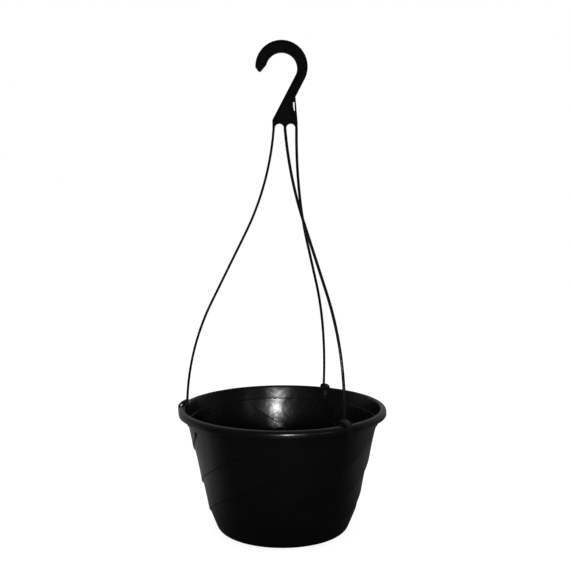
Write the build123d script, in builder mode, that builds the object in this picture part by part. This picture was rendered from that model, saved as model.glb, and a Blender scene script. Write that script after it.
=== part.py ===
from build123d import *
import os
from math import atan2, cos, exp, log, pi, radians, sin, tan

# Ten-inch moulded hanging basket with its three-legged clip-on hanger.
# The basket is one thin moulding: a rolled rim, a plain collar and a tapered wall of swirled
# panels over a recessed base. The hanger is a flat open hook with three springy legs, and
# each leg ends in a clip that grips the rolled rim.
# Origin: centre of the base, on the basket's axis. +Z is up, and the hook lies in the XZ plane.
# All sizes are in millimetres and degrees.

# ---- basket ----
rim_diameter = 254.0
basket_height = 152.4
wall = 1.5

# rolled rim: a lip that turns over the crest and hangs down as a skirt outside the collar
lip_width = 7.1
skirt_depth = 8.0
crest_rounding = 4.5
inner_rounding = 2.2

# collar: the plain band between the rim and the swirled panels, with a ledge at its foot
collar_depth = 18.0
collar_inset = 9.8
ledge_step = 1.3

# swirled wall, with the levels of its lower band measured up from the ground
wall_draft = 13.3
wall_end_height = 29.0
bevel_draft = 22.2
bevel_end_height = 12.4
swirl_panels = 8
swirl_step = 1.6
swirl_angle = 27.0
swirl_lead_in = 11.0
swirl_start = -62.0
swirl_edge_width = 1.6
swirl_lap = 6.0
swirl_fade_height = 40.4
swirl_fade_left = 0.25
swirl_levels = 11

# base
base_rounding = 10.0
base_recess = 2.5
foot_ring_width = 8.0
drain_holes = 8
drain_hole_diameter = 9.0
drain_ring_inset = 10.4

# ---- hook, placed from the centre of its outer curve ----
hook_centre_height = 561.2
hook_outer_radius = 31.0
hook_depth = 6.0
hook_web = 2.4
hook_flange = 2.2
hook_rib = 1.4
eye_radius = 18.4
eye_drop = 2.2
stem_lean = 27.9
stem_offset = 18.25
stem_bend_rounding = 7.0
tip_start_angle = 181.0
tip_end_angle = 166.0
tip_point = (-26.0, -7.4)
tip_rounding = 2.4

# three-legged plate under the hook
plate_middle = 4.0
plate_corner_drop = 35.1
plate_foot_drop = 66.0
plate_rounding = 2.0
arch_drop = 72.0
stub_end_drop = 73.0
taper_start_drop = 58.0
taper_depth = 3.4

# long narrow window, each corner set in from the plate's right edge, and down along it
window = ((3.4, 5.9), (1.9, 6.1), (2.4, 21.1), (3.6, 11.3))

# zigzag braces between the inner and the outer flange, and the curved brace in the plate
braces = (
    ((-16.7, 9.5), (-16.4, 23.3), (-1.5, 18.6), (13.3, 23.8), (17.8, 8.1), (29.3, 1.2)),
    ((29.3, 1.2), (19.2, -8.1), (19.0, -26.2), (5.0, -34.9)),
    ((11.3, -40.5), (7.6, -43.6), (9.1, -48.8), (13.7, -54.5), (17.9, -61.6)),
)

# ---- legs ----
leg_spacing = 13.6
leg_width = 3.0
leg_thickness = 2.8
leg_rounding = 0.7
leg_foot_inset = 8.7
leg_foot_rise = 6.0
leg_overrun = 4.0
bend_shares = (0.955, 0.98)

# each leg: the stub it grows from, the azimuth of its clip, and the two knees of its bow, the
# upper one out from the stub and down from it, the lower one out from the foot and up from it
legs = {
    "left": dict(stub=-1, azimuth=174.5, upper_knee=(6.0, 66.6), lower_knee=(-3.3, 65.0)),
    "front": dict(stub=0, azimuth=-53.9, upper_knee=(9.2, 58.2), lower_knee=(3.0, 76.0)),
    "rear": dict(stub=1, azimuth=62.3, upper_knee=(-1.4, 75.6), lower_knee=(9.5, 75.4)),
}

# ---- clips ----
clip_width = 8.0
clip_neck = 3.4
clip_shoulder_rounding = 2.5
clip_arch = 2.6
clip_top_gap = 0.5
clip_side_gap = 0.6
clip_plate = 1.7
clip_depth = 11.7
clip_floor = 1.9
clip_finger = 1.6
clip_finger_overlap = 2.2
clip_back_inset = 12.6
clip_back_depth = 2.0
tongue_width = 4.6
tongue_reach = 15.0
tongue_tip = 1.6

crest = basket_height
rim_radius = rim_diameter / 2
lip_inner_radius = rim_radius - lip_width
collar_foot_radius = rim_radius - collar_inset
wall_top_radius = collar_foot_radius - ledge_step
wall_end_depth = basket_height - wall_end_height
bevel_end_depth = basket_height - bevel_end_height
swirl_fade_depth = basket_height - swirl_fade_height
hook_centre = Vector(0, 0, hook_centre_height)
hook_plane = Plane(origin=hook_centre, x_dir=(1, 0, 0), z_dir=(0, -1, 0))


def polar(radius, azimuth):
    """Point at a radius and an azimuth."""
    return (radius * cos(radians(azimuth)), radius * sin(radians(azimuth)))


# ---- basket ----
def wall_radius(depth):
    """Mean outer radius of the swirled wall at a depth below the crest."""
    upper = min(depth, wall_end_depth) - collar_depth
    lower = max(depth - wall_end_depth, 0)
    return wall_top_radius - upper * tan(radians(wall_draft)) - lower * tan(radians(bevel_draft))


def swirl_azimuth(depth):
    """Azimuth of the first panel edge: it leaves the collar upright and bends into a helix."""
    pitch = 180 / pi / tan(radians(swirl_angle))
    bevel_top = wall_radius(min(depth, wall_end_depth))
    turn = pitch / tan(radians(wall_draft)) * log(wall_top_radius / bevel_top)
    turn += pitch * max(depth - wall_end_depth, 0) / bevel_top
    lag = pitch * swirl_lead_in / wall_top_radius
    lag *= 1 - exp((collar_depth - depth) / swirl_lead_in)
    return swirl_start - turn + lag


def swirl_section(depth, inset):
    """One level of the wall: each panel is an arc that drifts outward, then steps back in."""
    fade = (bevel_end_depth - depth) / (bevel_end_depth - swirl_fade_depth)
    half_step = swirl_step / 2 * min(max(fade, swirl_fade_left), 1)
    mean = wall_radius(depth) - inset
    pitch = 360 / swirl_panels
    edge = swirl_edge_width / mean * 180 / pi
    with BuildSketch(Plane.XY.offset(crest - depth)) as section:
        with BuildLine():
            for panel in range(swirl_panels):
                low = swirl_azimuth(depth) + pitch * panel + edge
                high = low - edge + pitch
                top = polar(mean + half_step, high)
                ThreePointArc(polar(mean - half_step, low), polar(mean, (low + high) / 2), top)
                Line(top, polar(mean - half_step, high + edge))
        make_face()
    return section.sketch


def swirl_cone(inset):
    """Solid cone of swirled panels, set in from the outer face of the wall."""
    with BuildPart() as cone:
        for level in range(swirl_levels):
            share = level / (swirl_levels - 1)
            add(swirl_section(collar_depth + share * (bevel_end_depth - collar_depth), inset))
        loft()
    return cone.part


half_relief = swirl_step / 2
ledge = crest - collar_depth
bevel_end = crest - bevel_end_depth
bevel_end_radius = wall_radius(bevel_end_depth)
base_radius = bevel_end_radius - bevel_end * tan(radians(bevel_draft))
foot_radius = base_radius - base_rounding * tan(radians(45 - bevel_draft / 2)) - foot_ring_width
drain_ring_radius = foot_radius - drain_ring_inset
seam_overlap = swirl_step * swirl_fade_left

with BuildPart() as basket:
    add(swirl_cone(0))
    add(swirl_cone(wall).rotate(Axis.Z, -swirl_lap), mode=Mode.SUBTRACT)
    # rim and collar, overlapping the head of the wall by a ledge
    with BuildSketch(Plane.XZ) as rim_section:
        with BuildLine():
            Polyline(
                (wall_top_radius - wall - half_relief, ledge),
                (wall_top_radius - wall - half_relief, ledge + wall),
                (collar_foot_radius - wall, ledge + wall),
                (lip_inner_radius, crest),
                (rim_radius, crest),
                (rim_radius, crest - skirt_depth),
                (rim_radius - wall, crest - skirt_depth),
                (rim_radius - wall, crest - wall),
                (lip_inner_radius + wall, crest - wall),
                (collar_foot_radius, ledge),
                close=True,
            )
        make_face()
        corners = rim_section.vertices()
        fillet(corners.sort_by_distance((rim_radius, crest))[0], crest_rounding)
        fillet(corners.sort_by_distance((lip_inner_radius, crest))[0], inner_rounding)
        under_crest = (rim_radius - wall, crest - wall)
        fillet(corners.sort_by_distance(under_crest)[0], crest_rounding - wall)
    revolve(axis=Axis.Z)
    # base: a rounded corner, a foot ring and a floor lifted off the ground
    with BuildSketch(Plane.XZ) as base_section:
        with BuildLine():
            Polyline(
                (bevel_end_radius - seam_overlap, bevel_end),
                (base_radius - seam_overlap, 0),
                (foot_radius, 0),
                (foot_radius, base_recess),
                (0, base_recess),
                (0, base_recess + wall),
                (foot_radius + wall, base_recess + wall),
                (foot_radius + wall, wall),
                (base_radius - seam_overlap - wall, wall),
                (bevel_end_radius - seam_overlap - wall, bevel_end),
                close=True,
            )
        make_face()
        corners = base_section.vertices()
        base_edge = (base_radius - seam_overlap, 0)
        fillet(corners.sort_by_distance(base_edge)[0], base_rounding)
        floor_edge = (base_radius - seam_overlap - wall, wall)
        fillet(corners.sort_by_distance(floor_edge)[0], base_rounding - wall)
    revolve(axis=Axis.Z)
    with BuildSketch():
        with PolarLocations(drain_ring_radius, drain_holes):
            Circle(drain_hole_diameter / 2)
    extrude(amount=base_recess + 2 * wall, mode=Mode.SUBTRACT)

# ---- hook ----
down_stem = Vector(-sin(radians(stem_lean)), -cos(radians(stem_lean)))
across_stem = Vector(cos(radians(stem_lean)), -sin(radians(stem_lean)))
eye_centre = Vector(0, -eye_drop)
half_chord = (eye_radius**2 - stem_offset**2) ** 0.5
inner_bend = eye_centre + across_stem * stem_offset - down_stem * half_chord
outer_bend = across_stem * hook_outer_radius
corner_run = (plate_corner_drop + outer_bend.Y) / -down_stem.Y
outer_corner = outer_bend + down_stem * corner_run
plate_left = plate_middle - leg_spacing - leg_width / 2
plate_right = plate_middle + leg_spacing + leg_width / 2
inner_corner = inner_bend + down_stem * ((plate_left - inner_bend.X) / down_stem.X)
right_edge = (Vector(plate_right, -plate_foot_drop) - outer_corner).normalized()
into_plate = Vector(right_edge.Y, -right_edge.X)
bend_angle = atan2(inner_bend.Y + eye_drop, inner_bend.X) * 180 / pi
tip_inner = eye_centre + Vector(*polar(eye_radius, tip_end_angle))
tip_outer = polar(hook_outer_radius, tip_start_angle)
arch_radius = (leg_spacing - leg_width) / 2
hook_arc = tip_start_angle + stem_lean
eye_arc = tip_end_angle - bend_angle

with BuildPart() as hook:
    with BuildSketch(hook_plane) as outline:
        with BuildLine():
            CenterArc((0, 0), hook_outer_radius, -stem_lean, hook_arc)
            Line(tip_outer, tip_point)
            Line(tip_point, tip_inner)
            CenterArc(eye_centre, eye_radius, bend_angle, eye_arc)
            Polyline(
                inner_bend,
                inner_corner,
                (plate_left, -plate_foot_drop),
                (plate_right, -plate_foot_drop),
                outer_corner,
                outer_bend,
            )
        make_face()
        corners = outline.vertices()
        fillet(corners.sort_by_distance(tip_point)[0], tip_rounding)
        fillet(corners.sort_by_distance(inner_bend)[0], stem_bend_rounding)
        fillet(corners.sort_by_distance(outer_corner)[0], plate_rounding)
    extrude(amount=hook_depth / 2, both=True)
    # three stubs joined by round arches
    with BuildSketch(hook_plane):
        with Locations((plate_middle, -stub_end_drop)):
            Rectangle(
                plate_right - plate_left,
                stub_end_drop - plate_foot_drop,
                align=(Align.CENTER, Align.MIN),
            )
        for side in (-1, 1):
            with Locations((plate_middle + side * leg_spacing / 2, -arch_drop)):
                Circle(arch_radius, mode=Mode.SUBTRACT)
                Rectangle(
                    2 * arch_radius,
                    arch_radius,
                    align=(Align.CENTER, Align.MAX),
                    mode=Mode.SUBTRACT,
                )
    extrude(amount=hook_depth / 2, both=True)
    # pockets on both faces leave a rim flange, a thin web and the bracing
    for face in (1, -1):
        with BuildSketch(hook_plane.offset(face * hook_web / 2)):
            offset(outline.sketch_local, amount=-hook_flange, kind=Kind.TANGENT)
            for line in braces:
                with BuildLine(mode=Mode.PRIVATE) as brace:
                    Polyline(*line)
                trace(brace.line, line_width=hook_rib, mode=Mode.SUBTRACT)
        extrude(amount=face * hook_depth, mode=Mode.SUBTRACT)
    # window through the plate
    with BuildSketch(hook_plane):
        with BuildLine():
            window_corners = [outer_corner + into_plate * x + right_edge * y for x, y in window]
            Polyline(*[tuple(corner) for corner in window_corners], close=True)
        make_face()
    extrude(amount=hook_depth, both=True, mode=Mode.SUBTRACT)
    # the plate thins towards the legs
    for face in (1, -1):
        with BuildSketch(Plane.YZ.offset(plate_middle)):
            with BuildLine():
                Polyline(
                    (face * hook_depth / 2, hook_centre_height - taper_start_drop),
                    (face * taper_depth / 2, hook_centre_height - stub_end_drop),
                    (face * hook_depth, hook_centre_height - stub_end_drop),
                    (face * hook_depth, hook_centre_height - taper_start_drop),
                    close=True,
                )
            make_face()
        extrude(amount=2 * leg_spacing, both=True, mode=Mode.SUBTRACT)

basket.part.label = "basket"
hook.part.label = "hook"
os.makedirs("parts", exist_ok=True)
export_step(basket.part, "parts/basket.step")
export_step(hook.part, "parts/hook.step")

# ---- legs and clips ----
leg_top = hook_centre_height - stub_end_drop
leg_rise = leg_top - crest
leg_foot_radius = rim_radius - leg_foot_inset
clip_back_radius = rim_radius - clip_back_inset
collar_inner_foot = collar_foot_radius - wall
collar_lean = (lip_inner_radius - collar_inner_foot) / (collar_depth - wall)
slot_back = lip_inner_radius - clip_side_gap
slot_front = rim_radius + clip_side_gap
finger_front = rim_radius - wall - clip_side_gap
finger_back = finger_front - clip_finger
tongue_root = lip_inner_radius - collar_lean * clip_back_depth - clip_side_gap
tongue_foot = lip_inner_radius - collar_lean * tongue_reach - clip_side_gap


def bend_radius(end, knee, other_knee, share):
    """Radius of the bend that takes up a share of the run between a leg's end and its knee."""
    turn = (knee - end).get_angle(other_knee - knee)
    return share * (knee - end).length / tan(radians(turn / 2))


for name, leg in legs.items():
    stub = Vector(plate_middle + leg["stub"] * leg_spacing, 0, leg_top)
    foot = Vector(*polar(leg_foot_radius, leg["azimuth"]), crest + leg_foot_rise)
    run = Vector(foot.X - stub.X, foot.Y - stub.Y)
    leg_plane = Plane(
        origin=(stub.X, stub.Y, crest), x_dir=run, z_dir=Vector(run.Y, -run.X, 0)
    )
    # the bow in the leg's own upright plane, started and ended beyond the two trimmed faces
    head = Vector(0, leg_rise)
    upper_knee = head + Vector(leg["upper_knee"][0], -leg["upper_knee"][1])
    heel = Vector(run.length, leg_foot_rise)
    lower_knee = heel + Vector(*leg["lower_knee"])
    upper_bend = bend_radius(head, upper_knee, lower_knee, bend_shares[0])
    lower_bend = bend_radius(heel, lower_knee, upper_knee, bend_shares[1])
    corners = [tuple(corner) for corner in (head, upper_knee, lower_knee, heel)]
    with BuildLine(leg_plane) as bow:
        FilletPolyline(*corners, radius=(upper_bend, lower_bend))
    overrun_top = bow.line @ 0 - (bow.line % 0) * leg_overrun
    overrun_foot = bow.line @ 1 + (bow.line % 1) * leg_overrun
    with BuildPart() as spring_leg:
        with BuildLine():
            Line(overrun_top, bow.line @ 0)
            add(bow.line)
            Line(bow.line @ 1, overrun_foot)
        start = Plane(origin=overrun_top, x_dir=leg_plane.z_dir, z_dir=bow.line % 0)
        with BuildSketch(start):
            RectangleRounded(leg_width, leg_thickness, leg_rounding)
        sweep()
        split(bisect_by=Plane.XY.offset(leg_top), keep=Keep.BOTTOM)
        split(bisect_by=Plane.XY.offset(foot.Z), keep=Keep.TOP)
    spring_leg.part.label = "leg_" + name
    export_step(spring_leg.part, "parts/leg_" + name + ".step")

    outward = Vector(*polar(1, leg["azimuth"]), 0)
    section = Plane(origin=(0, 0, crest), x_dir=outward, z_dir=Vector(outward.Y, -outward.X, 0))
    with BuildPart() as clip:
        # saddle over the rim, with the plate and the hooked finger outside
        with BuildSketch(section) as saddle:
            with BuildLine():
                Polyline(
                    (leg_foot_radius - clip_neck / 2, leg_foot_rise),
                    (leg_foot_radius + clip_neck / 2, leg_foot_rise),
                    (slot_front - clip_plate, clip_top_gap + clip_arch),
                    (slot_front + clip_plate, -clip_top_gap),
                    (slot_front + clip_plate, -clip_depth),
                    (finger_back, -clip_depth),
                    (finger_back, -skirt_depth + clip_finger_overlap),
                    (finger_front, -skirt_depth + clip_finger_overlap),
                    (finger_front, clip_floor - clip_depth),
                    (slot_front, clip_floor - clip_depth),
                    (slot_front, -clip_arch),
                    (slot_front - clip_arch, clip_top_gap),
                    (slot_back, clip_top_gap),
                    (tongue_root, -clip_back_depth),
                    (clip_back_radius, -clip_back_depth),
                    (clip_back_radius, clip_top_gap),
                    close=True,
                )
            make_face()
        extrude(amount=clip_width / 2, both=True)
        with BuildSketch(Plane(origin=(0, 0, foot.Z), x_dir=-section.z_dir, z_dir=outward)):
            height = leg_foot_rise + clip_depth
            with Locations((0, -height / 2)):
                RectangleRounded(clip_width, height, clip_shoulder_rounding)
        extrude(amount=rim_diameter, mode=Mode.INTERSECT)
        # tongue that springs against the inside of the collar
        with BuildSketch(section):
            with BuildLine():
                Polyline(
                    (tongue_root, -clip_back_depth),
                    (tongue_foot, -tongue_reach),
                    (tongue_foot - tongue_tip, -tongue_reach),
                    (clip_back_radius, -clip_back_depth),
                    close=True,
                )
            make_face()
        extrude(amount=tongue_width / 2, both=True)
    clip.part.label = "clip_" + name
    export_step(clip.part, "parts/clip_" + name + ".step")
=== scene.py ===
from math import cos, e, pi, radians, sin, tan

import bmesh
import bpy
from mathutils import Matrix, Vector


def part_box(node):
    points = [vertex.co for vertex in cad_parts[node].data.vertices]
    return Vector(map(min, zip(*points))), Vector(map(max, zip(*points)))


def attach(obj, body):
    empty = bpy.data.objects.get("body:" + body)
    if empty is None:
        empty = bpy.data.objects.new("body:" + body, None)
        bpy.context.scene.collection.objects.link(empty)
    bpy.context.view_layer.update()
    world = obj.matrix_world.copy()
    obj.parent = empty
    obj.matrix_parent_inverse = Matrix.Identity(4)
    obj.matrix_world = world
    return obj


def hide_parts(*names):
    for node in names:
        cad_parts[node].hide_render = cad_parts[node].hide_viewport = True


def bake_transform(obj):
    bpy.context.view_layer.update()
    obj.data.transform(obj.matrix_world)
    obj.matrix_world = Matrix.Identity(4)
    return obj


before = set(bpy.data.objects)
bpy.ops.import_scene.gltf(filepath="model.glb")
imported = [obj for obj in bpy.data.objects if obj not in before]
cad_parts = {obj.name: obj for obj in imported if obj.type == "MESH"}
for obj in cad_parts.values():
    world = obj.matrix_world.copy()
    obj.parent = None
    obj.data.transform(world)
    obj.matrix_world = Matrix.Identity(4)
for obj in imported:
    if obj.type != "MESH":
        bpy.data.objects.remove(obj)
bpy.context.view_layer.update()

# ---------------------------------------------------------------------------------------
# Basket shell. One thin polypropylene moulding: a rim rolled over into a skirt, a plain
# collar, and a tapered wall of eight panels that twist round the basket, each one proud of
# the next by a small step. It stands on a foot ring.
# ---------------------------------------------------------------------------------------
MM = 0.001
basket_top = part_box("basket")[1]
rim_radius = basket_top[0]
crest = basket_top[2]
wall = 1.5 * MM

# rim and collar: radii are to the outer face, and depths are measured down from the crest
lip_inner_radius = 119.9 * MM
skirt_depth = 8.0 * MM
skirt_rounding = 0.5 * MM
crest_rounding = 4.5 * MM
inner_rounding = 2.2 * MM
under_rounding = 0.8 * MM
collar_foot_radius = 117.2 * MM
collar_rounding = 0.4 * MM
ledge_depth = 18.0 * MM
ledge_rounding = 0.3 * MM

# swirled wall, steeper below its bend, and plain again below the bevel
wall_top_radius = 115.9 * MM
wall_draft = radians(13.3)
bend_depth = 123.4 * MM
bend_rounding = 12.0 * MM
bend_radius = wall_top_radius - (bend_depth - ledge_depth) * tan(wall_draft)
bevel_draft = radians(22.2)
bevel_depth = 140.0 * MM
bevel_radius = bend_radius - (bevel_depth - bend_depth) * tan(bevel_draft)
swirl = {
    "Panels": 8, "Columns": 26, "Row spacing": 2.4 * MM, "Swirl angle": radians(27),
    "Swirl start": radians(-62), "Lead-in": 11 * MM, "Step": 1.6 * MM,
    "Edge width": 1.6 * MM, "Lap": radians(6), "Flatness": 0.4 * MM, "Fade depth": 112 * MM,
}

# base
base_radius = bevel_radius - (crest - bevel_depth) * tan(bevel_draft)
base_rounding = 10.0 * MM
foot_radius = 64.4 * MM
foot_rounding = 0.4 * MM
recess = 2.5 * MM
recess_rounding = 0.3 * MM


def add(tree, kind, inputs=(), **settings):
    """Adds a node with its settings, and links or fills its inputs in order or by name."""
    node = tree.nodes.new(kind)
    for name, value in settings.items():
        setattr(node, name, value)
    pairs = inputs.items() if isinstance(inputs, dict) else enumerate(inputs)
    for socket, value in pairs:
        if isinstance(value, bpy.types.Node):
            value = value.outputs[0]
        if isinstance(value, bpy.types.NodeSocket):
            tree.links.new(value, node.inputs[socket])
        else:
            node.inputs[socket].default_value = value
    return node


def poly_curve(name, corners, cyclic):
    """Curve object through corners of (x, y, z, rounding, swirl): the swirl is 0 where a wall
    stays plain, 1 where it is stepped into panels, and 2 where its steps are lapped as well."""
    curve = bpy.data.curves.new(name, "CURVE")
    curve.dimensions = "3D"
    spline = curve.splines.new("POLY")
    spline.points.add(len(corners) - 1)
    for point, (x, y, z, rounding, swirled) in zip(spline.points, corners):
        point.co = (x, y, z, 1)
        point.radius = rounding
        point.tilt = swirled
    spline.use_cyclic_u = cyclic
    curve_object = bpy.data.objects.new(name, curve)
    bpy.context.scene.collection.objects.link(curve_object)
    return curve_object


def grown(name, source, tree, values):
    """Runs a node tree on a source object and returns its result as a plain mesh object."""
    modifier = source.modifiers.new(name, "NODES")
    modifier.node_group = tree
    for socket in tree.interface.items_tree:
        if socket.in_out == "INPUT" and socket.name in values:
            modifier[socket.identifier] = values[socket.name]
    bpy.context.view_layer.update()
    evaluated = source.evaluated_get(bpy.context.evaluated_depsgraph_get())
    mesh = bpy.data.meshes.new_from_object(evaluated)
    mesh.name = name
    piece = bpy.data.objects.new(name, mesh)
    bpy.context.scene.collection.objects.link(piece)
    bpy.data.objects.remove(source)
    return piece


def swirled_shell():
    """Node tree: spins a closed wall outline round Z, and twists and steps it into panels."""
    tree = bpy.data.node_groups.new("swirled shell", "GeometryNodeTree")
    face = tree.interface
    face.new_socket("Outline", in_out="INPUT", socket_type="NodeSocketGeometry")
    for name in ("Crest", "Ledge depth", "Bend depth", "Bevel depth", "Fade depth",
                 "Wall top radius", "Wall draft", "Swirl angle", "Swirl start", "Lead-in",
                 "Step", "Edge width", "Lap", "Flatness", "Row spacing"):
        face.new_socket(name, in_out="INPUT", socket_type="NodeSocketFloat")
    for name in ("Panels", "Columns"):
        face.new_socket(name, in_out="INPUT", socket_type="NodeSocketInt")
    face.new_socket("Plastic", in_out="INPUT", socket_type="NodeSocketMaterial")
    face.new_socket("Shell", in_out="OUTPUT", socket_type="NodeSocketGeometry")
    given = add(tree, "NodeGroupInput").outputs

    # outline: rounded corners, then enough points along its straight runs
    corner_points = 7
    rounded = add(tree, "GeometryNodeFilletCurve",
                  {"Curve": given["Outline"], "Count": corner_points,
                   "Radius": add(tree, "GeometryNodeInputRadius")}, mode="POLY")
    here = add(tree, "GeometryNodeInputPosition")
    index = add(tree, "GeometryNodeInputIndex")
    after = add(tree, "ShaderNodeMath", (index, 1.0), operation="ADD")
    there = add(tree, "GeometryNodeFieldAtIndex", {"Value": here, "Index": after},
                data_type="FLOAT_VECTOR")
    run = add(tree, "ShaderNodeVectorMath", (there, here), operation="DISTANCE")
    cuts = add(tree, "ShaderNodeMath", (run.outputs["Value"], given["Row spacing"]),
               operation="DIVIDE")
    outline = add(tree, "GeometryNodeSubdivideCurve", {"Curve": rounded, "Cuts": cuts})
    count = add(tree, "GeometryNodeAttributeDomainSize", {"Geometry": outline},
                component="CURVE").outputs["Point Count"]

    # grid of rows along the outline and columns round the basket
    columns = add(tree, "ShaderNodeMath", (given["Panels"], given["Columns"]),
                  operation="MULTIPLY")
    grid = add(tree, "GeometryNodeMeshGrid",
               {"Size X": 1.0, "Size Y": 1.0,
                "Vertices X": add(tree, "ShaderNodeMath", (columns, 1.0), operation="ADD"),
                "Vertices Y": add(tree, "ShaderNodeMath", (count, 1.0), operation="ADD")})
    place = add(tree, "ShaderNodeSeparateXYZ", (here,))
    row = add(tree, "ShaderNodeMath", (place.outputs["Y"], 0.5), operation="ADD")
    row = add(tree, "ShaderNodeMath", (row, count), operation="MULTIPLY")
    row = add(tree, "ShaderNodeMath", (row,), operation="ROUND")
    row = add(tree, "ShaderNodeMath", (row, count), operation="MODULO")
    spot = add(tree, "GeometryNodeSampleIndex",
               {"Geometry": outline, "Value": here, "Index": row}, data_type="FLOAT_VECTOR")
    swirled = add(tree, "GeometryNodeSampleIndex",
                  {"Geometry": outline, "Value": add(tree, "GeometryNodeInputCurveTilt"),
                   "Index": row}, data_type="FLOAT")
    on_outline = add(tree, "ShaderNodeSeparateXYZ", (spot,))

    # across a panel: columns crowd together at its edge, where the step is
    crowding = 0.93
    across = add(tree, "ShaderNodeMath", (place.outputs["X"], 0.5), operation="ADD")
    across = add(tree, "ShaderNodeMath", (across, given["Panels"]), operation="MULTIPLY")
    share = add(tree, "ShaderNodeMath", (across,), operation="FRACT")
    whole = add(tree, "ShaderNodeMath", (across,), operation="FLOOR")
    wave = add(tree, "ShaderNodeMath", (share, 2 * pi), operation="MULTIPLY")
    wave = add(tree, "ShaderNodeMath", (wave,), operation="SINE")
    wave = add(tree, "ShaderNodeMath", (wave, crowding / (2 * pi)), operation="MULTIPLY")
    share = add(tree, "ShaderNodeMath", (share, wave), operation="SUBTRACT")
    pitch = add(tree, "ShaderNodeMath", (2 * pi, given["Panels"]), operation="DIVIDE")
    phase = add(tree, "ShaderNodeMath", (whole, share), operation="ADD")
    phase = add(tree, "ShaderNodeMath", (phase, pitch), operation="MULTIPLY")

    # twist: a helix of constant slope on the cone, upright where it leaves the ledge
    depth = add(tree, "ShaderNodeMath", (given["Crest"], on_outline.outputs["Z"]),
                operation="SUBTRACT")
    depth = add(tree, "ShaderNodeMath", (depth, given["Ledge depth"]), operation="MAXIMUM")
    depth = add(tree, "ShaderNodeMath", (depth, given["Bevel depth"]), operation="MINIMUM")
    fallen = add(tree, "ShaderNodeMath", (depth, given["Ledge depth"]), operation="SUBTRACT")
    upper = add(tree, "ShaderNodeMath", (depth, given["Bend depth"]), operation="MINIMUM")
    upper = add(tree, "ShaderNodeMath", (upper, given["Ledge depth"]), operation="SUBTRACT")
    slope = add(tree, "ShaderNodeMath", (given["Wall draft"],), operation="TANGENT")
    shrink = add(tree, "ShaderNodeMath", (upper, slope), operation="MULTIPLY")
    radius = add(tree, "ShaderNodeMath", (given["Wall top radius"], shrink),
                 operation="SUBTRACT")
    ratio = add(tree, "ShaderNodeMath", (given["Wall top radius"], radius), operation="DIVIDE")
    turn = add(tree, "ShaderNodeMath", (ratio, e), operation="LOGARITHM")
    turn = add(tree, "ShaderNodeMath", (turn, slope), operation="DIVIDE")
    below = add(tree, "ShaderNodeMath", (depth, given["Bend depth"]), operation="SUBTRACT")
    below = add(tree, "ShaderNodeMath", (below, 0.0), operation="MAXIMUM")
    below = add(tree, "ShaderNodeMath", (below, radius), operation="DIVIDE")
    lag = add(tree, "ShaderNodeMath", (fallen, given["Lead-in"]), operation="DIVIDE")
    lag = add(tree, "ShaderNodeMath", (lag, -1.0), operation="MULTIPLY")
    lag = add(tree, "ShaderNodeMath", (lag,), operation="EXPONENT")
    lag = add(tree, "ShaderNodeMath", (1.0, lag), operation="SUBTRACT")
    lead = add(tree, "ShaderNodeMath", (given["Lead-in"], given["Wall top radius"]),
               operation="DIVIDE")
    lag = add(tree, "ShaderNodeMath", (lag, lead), operation="MULTIPLY")
    turn = add(tree, "ShaderNodeMath", (turn, below), operation="ADD")
    turn = add(tree, "ShaderNodeMath", (turn, lag), operation="SUBTRACT")
    climb = add(tree, "ShaderNodeMath", (given["Swirl angle"],), operation="TANGENT")
    turn = add(tree, "ShaderNodeMath", (turn, climb), operation="DIVIDE")
    azimuth = add(tree, "ShaderNodeMath", (given["Swirl start"], turn), operation="SUBTRACT")
    azimuth = add(tree, "ShaderNodeMath", (azimuth, phase), operation="ADD")

    # lap: the steps of the inner wall lie a little ahead of the outer ones
    lapped = add(tree, "ShaderNodeMath", (swirled, 1.0), operation="SUBTRACT")
    lapped = add(tree, "ShaderNodeMath", (lapped, 0.0), operation="MAXIMUM")
    lap = add(tree, "ShaderNodeMath", (lapped, given["Lap"]), operation="MULTIPLY")
    azimuth = add(tree, "ShaderNodeMath", (azimuth, lap), operation="SUBTRACT")

    # relief: each panel rises along its width, a little flatter than an arc, and drops back
    # over a rounded edge, and the whole relief fades out towards the foot of the wall
    edge = add(tree, "ShaderNodeMath", (given["Edge width"], radius), operation="DIVIDE")
    edge = add(tree, "ShaderNodeMath", (edge, pitch), operation="DIVIDE")
    edge = add(tree, "ShaderNodeMath", (edge, 0.5), operation="MULTIPLY")
    before = add(tree, "ShaderNodeMath", (edge, -1.0), operation="MULTIPLY")
    past = add(tree, "ShaderNodeMath", (1.0, edge), operation="ADD")
    ahead = add(tree, "ShaderNodeMath", (1.0, edge), operation="SUBTRACT")
    fall = add(tree, "ShaderNodeMapRange",
               {"Value": share, "From Min": before, "From Max": edge,
                "To Min": 1.0, "To Max": 0.0}, interpolation_type="SMOOTHSTEP")
    next_fall = add(tree, "ShaderNodeMapRange",
                    {"Value": share, "From Min": ahead, "From Max": past,
                     "To Min": 0.0, "To Max": 1.0}, interpolation_type="SMOOTHSTEP")
    relief = add(tree, "ShaderNodeMath", (share, 0.5), operation="SUBTRACT")
    relief = add(tree, "ShaderNodeMath", (relief, fall), operation="ADD")
    relief = add(tree, "ShaderNodeMath", (relief, next_fall), operation="SUBTRACT")
    fade = add(tree, "ShaderNodeMapRange",
               {"Value": depth, "From Min": given["Fade depth"],
                "From Max": given["Bevel depth"], "To Min": 1.0, "To Max": 0.0})
    relief = add(tree, "ShaderNodeMath", (relief, given["Step"]), operation="MULTIPLY")
    unshared = add(tree, "ShaderNodeMath", (1.0, share), operation="SUBTRACT")
    flat = add(tree, "ShaderNodeMath", (share, unshared), operation="MULTIPLY")
    flat = add(tree, "ShaderNodeMath", (flat, -4.0, 0.5), operation="MULTIPLY_ADD")
    flat = add(tree, "ShaderNodeMath", (flat, given["Flatness"]), operation="MULTIPLY")
    relief = add(tree, "ShaderNodeMath", (relief, flat), operation="ADD")
    relief = add(tree, "ShaderNodeMath", (relief, fade), operation="MULTIPLY")
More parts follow.
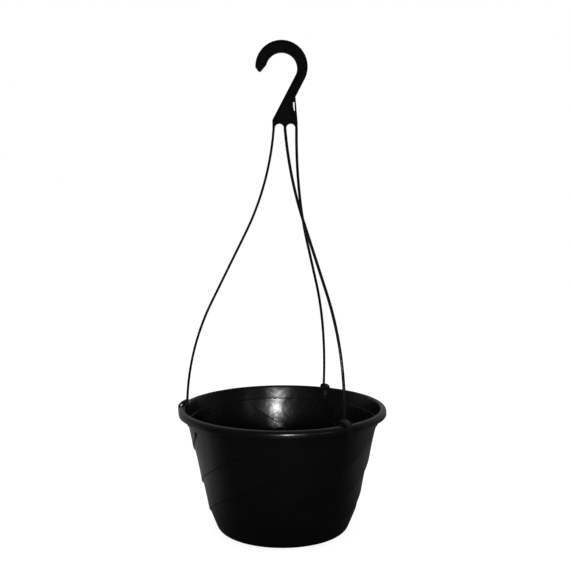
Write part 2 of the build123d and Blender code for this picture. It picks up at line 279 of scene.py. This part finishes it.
    stepped = add(tree, "ShaderNodeMath", (swirled, 1.0), operation="MINIMUM")
    relief = add(tree, "ShaderNodeMath", (relief, stepped), operation="MULTIPLY")
    out = add(tree, "ShaderNodeMath", (on_outline.outputs["X"], relief), operation="ADD")
    spun = add(tree, "ShaderNodeCombineXYZ",
               (add(tree, "ShaderNodeMath",
                    (out, add(tree, "ShaderNodeMath", (azimuth,), operation="COSINE")),
                    operation="MULTIPLY"),
                add(tree, "ShaderNodeMath",
                    (out, add(tree, "ShaderNodeMath", (azimuth,), operation="SINE")),
                    operation="MULTIPLY"),
                on_outline.outputs["Z"]))
    shaped = add(tree, "GeometryNodeSetPosition", {"Geometry": grid, "Position": spun})
    seam_gap = 0.01 * MM
    closed = add(tree, "GeometryNodeMergeByDistance", {"Geometry": shaped, "Distance": seam_gap})
    smooth = add(tree, "GeometryNodeSetShadeSmooth", {"Geometry": closed})
    real = add(tree, "GeometryNodeRealizeInstances", {"Geometry": smooth})
    dressed = add(tree, "GeometryNodeSetMaterial",
                  {"Geometry": real, "Material": given["Plastic"]})
    add(tree, "NodeGroupOutput", (dressed,))
    return tree


def plain_colour(code):
    """Linear colour of an sRGB hex code."""
    parts = [int(code[start:start + 2], 16) / 255 for start in (1, 3, 5)]
    return [p / 12.92 if p < 0.04045 else ((p + 0.055) / 1.055) ** 2.4 for p in parts] + [1]


def moulded_polypropylene(name, code, roughness, grain):
    """Injection-moulded polypropylene coloured with carbon black. The eye sees a smooth, slightly
    waxy gloss that mirrors a lamp softly. The highlight is mottled by the waviness of the cooled
    skin, and its edge is dulled in patches by handling. The grain is the size of the fine
    texture, in millimetres."""
    refraction = 1.49
    haze_size = 45 * MM
    haze_polish = 0.03
    haze_dulling = 0.05
    wave_size = 16 * MM
    wave_height = 0.4 * MM
    grain_height = 0.05 * MM
    grain_strength = 0.06
    material = bpy.data.materials.new(name)
    material.use_nodes = True
    tree = material.node_tree
    tree.nodes.clear()
    place = add(tree, "ShaderNodeTexCoord").outputs["Object"]
    haze = add(tree, "ShaderNodeTexNoise",
               {"Vector": place, "Scale": 1 / haze_size, "Detail": 5.0, "Roughness": 0.6})
    rough = add(tree, "ShaderNodeMapRange",
                {"Value": haze, "From Min": 0.3, "From Max": 0.7,
                 "To Min": roughness - haze_polish, "To Max": roughness + haze_dulling})
    fine = add(tree, "ShaderNodeTexNoise",
               {"Vector": place, "Scale": 1 / (grain * MM), "Detail": 3.0})
    waves = add(tree, "ShaderNodeTexNoise",
                {"Vector": place, "Scale": 1 / wave_size, "Detail": 2.0})
    skin = add(tree, "ShaderNodeBump",
               {"Strength": 1.0, "Distance": wave_height, "Height": waves})
    skin = add(tree, "ShaderNodeBump",
               {"Strength": grain_strength, "Distance": grain_height, "Height": fine,
                "Normal": skin})
    shader = add(tree, "ShaderNodeBsdfPrincipled",
                 {"Base Color": plain_colour(code), "Roughness": rough, "IOR": refraction,
                  "Normal": skin})
    add(tree, "ShaderNodeOutputMaterial", {"Surface": shader})
    return material


# the wall's section as (radius, height, rounding, swirl), up the outside and down the inside
collar_foot = crest - ledge_depth
collar_seat = collar_foot + wall
outer_face = [
    (foot_radius, 0, foot_rounding, 0),
    (base_radius, 0, base_rounding, 0),
    (bevel_radius, crest - bevel_depth, 0, 1),
    (bend_radius, crest - bend_depth, bend_rounding, 1),
    (wall_top_radius, collar_foot, 0, 1),
    (collar_foot_radius, collar_foot, ledge_rounding, 0),
    (lip_inner_radius + wall, crest - wall, under_rounding, 0),
    (rim_radius - wall, crest - wall, crest_rounding - wall, 0),
    (rim_radius - wall, crest - skirt_depth, skirt_rounding, 0),
    (rim_radius, crest - skirt_depth, skirt_rounding, 0),
    (rim_radius, crest, crest_rounding, 0),
]
inner_face = [
    (lip_inner_radius, crest, inner_rounding, 0),
    (collar_foot_radius - wall, collar_seat, collar_rounding, 0),
    (wall_top_radius - wall, collar_seat, 0, 2),
    (bend_radius - wall, crest - bend_depth, bend_rounding, 2),
    (bevel_radius - wall, crest - bevel_depth, 0, 2),
    (base_radius - wall, wall, base_rounding - wall, 0),
    (foot_radius + wall, wall, foot_rounding, 0),
    (foot_radius + wall, recess + wall, foot_rounding, 0),
    (foot_radius - wall, recess + wall, 0, 0),
    (foot_radius - wall, recess, 0, 0),
    (foot_radius, recess, recess_rounding, 0),
]
section = [(radius, 0, *rest) for radius, *rest in outer_face + inner_face]
basket_black = moulded_polypropylene("moulded black polypropylene", "#080809",
                                     roughness=0.24, grain=0.8)
shell_outline = poly_curve("shell section", section, cyclic=True)
shell = grown("basket_shell", shell_outline, swirled_shell(), swirl | {
    "Crest": crest, "Ledge depth": ledge_depth, "Bend depth": bend_depth,
    "Bevel depth": bevel_depth, "Wall top radius": wall_top_radius, "Wall draft": wall_draft,
    "Plastic": basket_black,
})
shell_edge_angle = radians(38)
shell.data.set_sharp_from_angle(angle=shell_edge_angle)
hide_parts("basket")
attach(shell, "basket")

# ---------------------------------------------------------------------------------------
# Basket floor. The thin recessed disc inside the foot ring, moulded in one with the shell and
# pierced by a ring of drain holes.
# ---------------------------------------------------------------------------------------
drain_holes = 8
drain_radius = 4.5 * MM
drain_ring = 54.0 * MM
floor_gap = 0.2 * MM
floor_skin = 0.05 * MM


def drained_floor():
    """Node tree: a disc with a ring of round holes through it."""
    tree = bpy.data.node_groups.new("drained floor", "GeometryNodeTree")
    face = tree.interface
    for name in ("Radius", "Hole radius", "Ring radius", "Thickness"):
        face.new_socket(name, in_out="INPUT", socket_type="NodeSocketFloat")
    face.new_socket("Holes", in_out="INPUT", socket_type="NodeSocketInt")
    face.new_socket("Plastic", in_out="INPUT", socket_type="NodeSocketMaterial")
    face.new_socket("Floor", in_out="OUTPUT", socket_type="NodeSocketGeometry")
    given = add(tree, "NodeGroupInput").outputs
    rim_points, hole_points = 96, 28
    rim = add(tree, "GeometryNodeCurvePrimitiveCircle",
              {"Resolution": rim_points, "Radius": given["Radius"]})
    ring = add(tree, "GeometryNodeMeshCircle",
               {"Vertices": given["Holes"], "Radius": given["Ring radius"]})
    hole = add(tree, "GeometryNodeCurvePrimitiveCircle",
               {"Resolution": hole_points, "Radius": given["Hole radius"]})
    holes = add(tree, "GeometryNodeInstanceOnPoints", {"Points": ring, "Instance": hole})
    holes = add(tree, "GeometryNodeRealizeInstances", {"Geometry": holes})
    both = add(tree, "GeometryNodeJoinGeometry")
    tree.links.new(rim.outputs[0], both.inputs[0])
    tree.links.new(holes.outputs[0], both.inputs[0])
    disc = add(tree, "GeometryNodeFillCurve", {"Curve": both})
    up = add(tree, "ShaderNodeCombineXYZ", (0.0, 0.0, 1.0))
    top = add(tree, "GeometryNodeExtrudeMesh",
              {"Mesh": disc, "Offset": up, "Offset Scale": given["Thickness"],
               "Individual": False})
    under = add(tree, "GeometryNodeFlipFaces", {"Mesh": disc})
    slab = add(tree, "GeometryNodeJoinGeometry")
    tree.links.new(top.outputs[0], slab.inputs[0])
    tree.links.new(under.outputs[0], slab.inputs[0])
    seam_gap = 0.001 * MM
    slab = add(tree, "GeometryNodeMergeByDistance", {"Geometry": slab, "Distance": seam_gap})
    real = add(tree, "GeometryNodeRealizeInstances", {"Geometry": slab})
    dressed = add(tree, "GeometryNodeSetMaterial",
                  {"Geometry": real, "Material": given["Plastic"]})
    add(tree, "NodeGroupOutput", (dressed,))
    return tree


seed = bpy.data.objects.new("floor seed", bpy.data.meshes.new("floor seed"))
bpy.context.scene.collection.objects.link(seed)
floor_disc = grown("basket_floor", seed, drained_floor(), {
    "Radius": foot_radius - floor_gap, "Hole radius": drain_radius, "Ring radius": drain_ring,
    "Thickness": wall - 2 * floor_skin, "Holes": drain_holes, "Plastic": basket_black,
})
floor_disc.data.transform(Matrix.Translation((0, 0, recess + floor_skin)))
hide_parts("basket")
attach(floor_disc, "basket")

# ---------------------------------------------------------------------------------------
# Hook. A flat polypropylene hook with a flange all round, a thin web and zigzag braces, moulded
# in one with the legs below it. The same plastic as the basket, with its black painted a shade
# lighter to stand in for light, as the hook is outside the lamps' beam.
# ---------------------------------------------------------------------------------------
hook_grain = 0.33 * MM
easing = 8
# painted light: a lighter black than the basket's, standing in for light on the unlit hook
hanger_black = moulded_polypropylene("moulded hanger polypropylene", "#0f0f10",
                                     roughness=0.22, grain=0.6)


def softened(name, node, grain):
    """Copy of a CAD node's mesh with every edge and corner eased, as moulded plastic has them."""
    seam_gap = 0.001 * MM
    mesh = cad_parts[node].data.copy()
    mesh.name = name
    work = bmesh.new()
    work.from_mesh(mesh)
    bmesh.ops.remove_doubles(work, verts=work.verts, dist=seam_gap)
    work.to_mesh(mesh)
    work.free()
    piece = bpy.data.objects.new(name, mesh)
    bpy.context.scene.collection.objects.link(piece)
    skin = piece.modifiers.new("even skin", "REMESH")
    skin.mode = "VOXEL"
    skin.voxel_size = grain
    skin.use_smooth_shade = True
    ease = piece.modifiers.new("eased edges", "SMOOTH")
    ease.factor = 0.5
    ease.iterations = easing
    bpy.context.view_layer.update()
    evaluated = piece.evaluated_get(bpy.context.evaluated_depsgraph_get())
    piece.data = bpy.data.meshes.new_from_object(evaluated)
    piece.modifiers.clear()
    piece.data.materials.clear()
    piece.data.materials.append(hanger_black)
    return piece


hook = softened("flat_hook", "hook", hook_grain)
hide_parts("hook")
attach(hook, "hook")

# ---------------------------------------------------------------------------------------
# Legs. Three long springy rods of the same moulding. Each leaves the hook straight down, bows
# out over the rim and comes down upright into its clip, and bends when the hook is turned.
# ---------------------------------------------------------------------------------------
leg_width = 3.0 * MM
leg_thickness = 2.8 * MM
leg_rounding = 0.7 * MM
leg_spacing = 13.6 * MM
plate_middle = 4.0 * MM
leg_foot_inset = 8.7 * MM
leg_foot_rise = 6.0 * MM
sunk_top = 1.5 * MM
sunk_foot = 2.5 * MM
bend_shares = (0.955, 0.98)
ring_spacing = 3.5 * MM

# each leg: its place under the plate, the azimuth of its clip, and the knees of its bow, the
# upper one out from the stub and down from it, the lower one out from the foot and up from it
legs = {
    "left": (-1, 174.5, (6.0, 66.6), (-3.3, 65.0)),
    "front": (0, -53.9, (9.2, 58.2), (3.0, 76.0)),
    "rear": (1, 62.3, (-1.4, 75.6), (9.5, 75.4)),
}


def sprung_leg():
    """Node tree: rounds the corners of a leg's run and sweeps a soft-cornered bar along it."""
    tree = bpy.data.node_groups.new("sprung leg", "GeometryNodeTree")
    face = tree.interface
    face.new_socket("Run", in_out="INPUT", socket_type="NodeSocketGeometry")
    for name in ("Width", "Thickness", "Corner", "Spacing"):
        face.new_socket(name, in_out="INPUT", socket_type="NodeSocketFloat")
    face.new_socket("Side", in_out="INPUT", socket_type="NodeSocketVector")
    face.new_socket("Plastic", in_out="INPUT", socket_type="NodeSocketMaterial")
    face.new_socket("Leg", in_out="OUTPUT", socket_type="NodeSocketGeometry")
    given = add(tree, "NodeGroupInput").outputs
    bend_points, corner_points = 60, 4
    bow = add(tree, "GeometryNodeFilletCurve",
              {"Curve": given["Run"], "Count": bend_points,
               "Radius": add(tree, "GeometryNodeInputRadius")}, mode="POLY")
    bow = add(tree, "GeometryNodeResampleCurve",
              {"Curve": bow, "Length": given["Spacing"]}, mode="LENGTH")
    bow = add(tree, "GeometryNodeSetCurveRadius", {"Curve": bow, "Radius": 1.0})
    bow = add(tree, "GeometryNodeSetCurveNormal",
              {"Curve": bow, "Normal": given["Side"]}, mode="FREE")
    bar = add(tree, "GeometryNodeCurvePrimitiveQuadrilateral",
              {"Width": given["Width"], "Height": given["Thickness"]})
    bar = add(tree, "GeometryNodeFilletCurve",
              {"Curve": bar, "Count": corner_points, "Radius": given["Corner"]}, mode="POLY")
    swept = add(tree, "GeometryNodeCurveToMesh",
                {"Curve": bow, "Profile Curve": bar, "Fill Caps": True})
    smooth = add(tree, "GeometryNodeSetShadeSmooth", {"Geometry": swept})
    real = add(tree, "GeometryNodeRealizeInstances", {"Geometry": smooth})
    dressed = add(tree, "GeometryNodeSetMaterial",
                  {"Geometry": real, "Material": given["Plastic"]})
    add(tree, "NodeGroupOutput", (dressed,))
    return tree


leg_tree = sprung_leg()
leg_edge_angle = radians(50)
stub_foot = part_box("hook")[0][2]
leg_foot_radius = rim_radius - leg_foot_inset
for side, (stub, azimuth, upper, lower) in legs.items():
    top = Vector((plate_middle + stub * leg_spacing, 0, stub_foot))
    foot = Vector((leg_foot_radius * cos(radians(azimuth)),
                   leg_foot_radius * sin(radians(azimuth)), crest + leg_foot_rise))
    outward = Vector((foot.x - top.x, foot.y - top.y, 0)).normalized()
    upper_knee = top + (outward * upper[0] - Vector((0, 0, upper[1]))) * MM
    lower_knee = foot + (outward * lower[0] + Vector((0, 0, lower[1]))) * MM
    run = [top, upper_knee, lower_knee, foot]
    # each bend takes up a share of the straight between its knee and the end of the leg
    roundings = [0, 0, 0, 0]
    for knee, end, share in ((1, 0, bend_shares[0]), (2, 3, bend_shares[1])):
        straight = run[end] - run[knee]
        turn = pi - straight.angle(run[3 - knee] - run[knee])
        roundings[knee] = share * straight.length / tan(turn / 2)
    # both ends run on a little, into the stub and into the clip
    run[0] = run[0] + (run[0] - run[1]).normalized() * sunk_top
    run[-1] = run[-1] + (run[-1] - run[-2]).normalized() * sunk_foot
    corners = [(*point, rounding, 0) for point, rounding in zip(run, roundings)]
    leg_run = poly_curve("leg run", corners, cyclic=False)
    leg = grown("sprung_leg_" + side, leg_run, leg_tree, {
        "Width": leg_width, "Thickness": leg_thickness, "Corner": leg_rounding,
        "Spacing": ring_spacing, "Side": Vector((outward.y, -outward.x, 0)),
        "Plastic": hanger_black,
    })
    leg.data.set_sharp_from_angle(angle=leg_edge_angle)
    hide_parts("leg_" + side)
    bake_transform(leg)

# ---------------------------------------------------------------------------------------
# Clips. At the foot of each leg a saddle sits over the rolled rim, with a plate and a hooked
# finger outside and a tongue inside that springs against the collar.
# ---------------------------------------------------------------------------------------
clip_grain = 0.25 * MM
for side in legs:
    clip = softened("rim_clip_" + side, "clip_" + side, clip_grain)
    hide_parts("clip_" + side)
    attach(clip, "clip_" + side)

# ---------------------------------------------------------------------------------------
# Studio. A white floor and background, a plain dome for even light, a small soft lamp beside
# the camera that draws the highlights, and a weak one far to the right. The gloss mirrors a
# room that is dim in front of the basket and lighter behind it, and the floor also gives the
# gloss a painted reflection of its own.
# ---------------------------------------------------------------------------------------
scene = bpy.context.scene
scene.view_settings.view_transform = "Standard"
white = plain_colour("#ffffff")
floor_colour = plain_colour("#8c8c8c")
floor_half = 1.6
floor_drop = 0.2 * MM
floor_glow = 0.86
dome_level = 0.9

# how bright the gloss shows the room, as where each ramp starts and ends and its two levels:
# the floor's painted reflection towards the rear, to the right and away from the foot, where it
# is painted dark as the basket's shade, and round the dome
rear_ramp = (-0.12, 0.06, 0.12, 1.0)
right_ramp = (-0.15, 0.15, 0.26, 0.11)
foot_shade_paint_ramp = (0.03, 0.24, 0.0, 1.0)
room_ramp = (-0.2, 0.8, 0.035, 0.26)


def ramp(tree, value, levels, **settings):
    """Adds a node that maps a value onto a ramp of (start, end, first level, last level)."""
    names = ("From Min", "From Max", "To Min", "To Max")
    return add(tree, "ShaderNodeMapRange", {"Value": value, **dict(zip(names, levels))},
               **settings)


def seen_directly(tree, rays):
    """Adds a node that is 1 for a ray from the camera, also after glass, and 0 for others."""
    return add(tree, "ShaderNodeMath", (rays["Is Camera Ray"], rays["Is Transmission Ray"]),
               operation="MAXIMUM")


paper = bpy.data.materials.new("pale studio floor")
paper.use_nodes = True
tree = paper.node_tree
tree.nodes.clear()
rays = add(tree, "ShaderNodeLightPath").outputs
# what the gloss mirrors on the floor is a painted reflection, a glow that only glossy rays
# see: lighter behind the basket and to its left, and painted dark close to its foot as the
# basket's shade
floor_place = add(tree, "ShaderNodeTexCoord").outputs["Object"]
across = add(tree, "ShaderNodeSeparateXYZ", (floor_place,)).outputs
to_rear = ramp(tree, across["Y"], rear_ramp, interpolation_type="SMOOTHSTEP")
to_right = ramp(tree, across["X"], right_ramp)
reach = add(tree, "ShaderNodeVectorMath", (floor_place,), operation="LENGTH").outputs["Value"]
painted_foot_shade = ramp(tree, reach, foot_shade_paint_ramp)
painted_sheen_level = add(tree, "ShaderNodeMath", (to_rear, to_right), operation="MULTIPLY")
painted_sheen_level = add(tree, "ShaderNodeMath", (painted_sheen_level, painted_foot_shade), operation="MULTIPLY")
# painted reflection: this glow is seen by glossy rays only, with painted shade by the foot
glossy_only_painted_glow = add(tree, "ShaderNodeEmission", {"Color": white, "Strength": painted_sheen_level})
# what the camera sees: the lit floor with the basket's shadow, raised to white
lit = add(tree, "ShaderNodeBsdfDiffuse", {"Color": floor_colour})
glow = add(tree, "ShaderNodeMath", (seen_directly(tree, rays), floor_glow),
           operation="MULTIPLY")
raised = add(tree, "ShaderNodeEmission", {"Color": white, "Strength": glow})
lit = add(tree, "ShaderNodeAddShader", (lit, raised))
look = add(tree, "ShaderNodeMixShader", (rays["Is Glossy Ray"], lit, glossy_only_painted_glow))
add(tree, "ShaderNodeOutputMaterial", {"Surface": look})
floor_mesh = bpy.data.meshes.new("studio_floor")
floor_corners = [(x * floor_half, y * floor_half, -floor_drop)
                 for x, y in ((-1, -1), (1, -1), (1, 1), (-1, 1))]
floor_mesh.from_pydata(floor_corners, [], [(0, 1, 2, 3)])
floor_mesh.materials.append(paper)
studio_floor = bpy.data.objects.new("studio_floor", floor_mesh)
scene.collection.objects.link(studio_floor)

world = bpy.data.worlds.new("studio dome")
world.use_nodes = True
scene.world = world
tree = world.node_tree
tree.nodes.clear()
rays = add(tree, "ShaderNodeLightPath").outputs
heading = add(tree, "ShaderNodeTexCoord").outputs["Generated"]
heading = add(tree, "ShaderNodeSeparateXYZ", (heading,)).outputs
room = ramp(tree, heading["Y"], room_ramp)
around = ramp(tree, rays["Is Glossy Ray"], (0.0, 1.0, dome_level, room))
around = ramp(tree, seen_directly(tree, rays), (0.0, 1.0, around, 1.0))
dome = add(tree, "ShaderNodeBackground", {"Color": white, "Strength": around})
add(tree, "ShaderNodeOutputWorld", {"Surface": dome})
# without sampling of its own, the dome is met by each ray at the level for that kind of ray
world.cycles.sampling_method = "NONE"

# each lamp: its place, its diameter and its power
lamps = {
    "soft lamp": ((0.11, -1.2, 0.36), 0.12, 0.14),
    "far side lamp": ((0.86, -0.90, 0.29), 0.20, 0.005),
}
lamp_spread = radians(26)
lamp_target = Vector((0, 0.06, 0.13))
for name, (place, size, power) in lamps.items():
    lamp = bpy.data.lights.new(name, "AREA")
    lamp.shape = "DISK"
    lamp.size = size
    lamp.energy = power
    lamp.spread = lamp_spread
    lamp_object = bpy.data.objects.new(name, lamp)
    lamp_object.location = place
    aim = lamp_target - lamp_object.location
    lamp_object.rotation_euler = aim.to_track_quat("-Z", "Y").to_euler()
    scene.collection.objects.link(lamp_object)

# the camera is a little above the rim, and looks slightly down on it
camera_distance = 1.2
camera_height = crest + 0.2781
yaw, tilt, roll = radians(-0.25), radians(90 - 6.22), radians(-0.15)
camera = bpy.data.cameras.new("camera")
camera.sensor_width = 36
camera.lens = 62.60733
camera_object = bpy.data.objects.new("camera", camera)
camera_object.location = (0, -camera_distance, camera_height)
turned = Matrix.Rotation(yaw, 3, "Z") @ Matrix.Rotation(tilt, 3, "X")
camera_object.rotation_euler = (turned @ Matrix.Rotation(roll, 3, "Z")).to_euler()
scene.collection.objects.link(camera_object)
scene.camera = camera_object
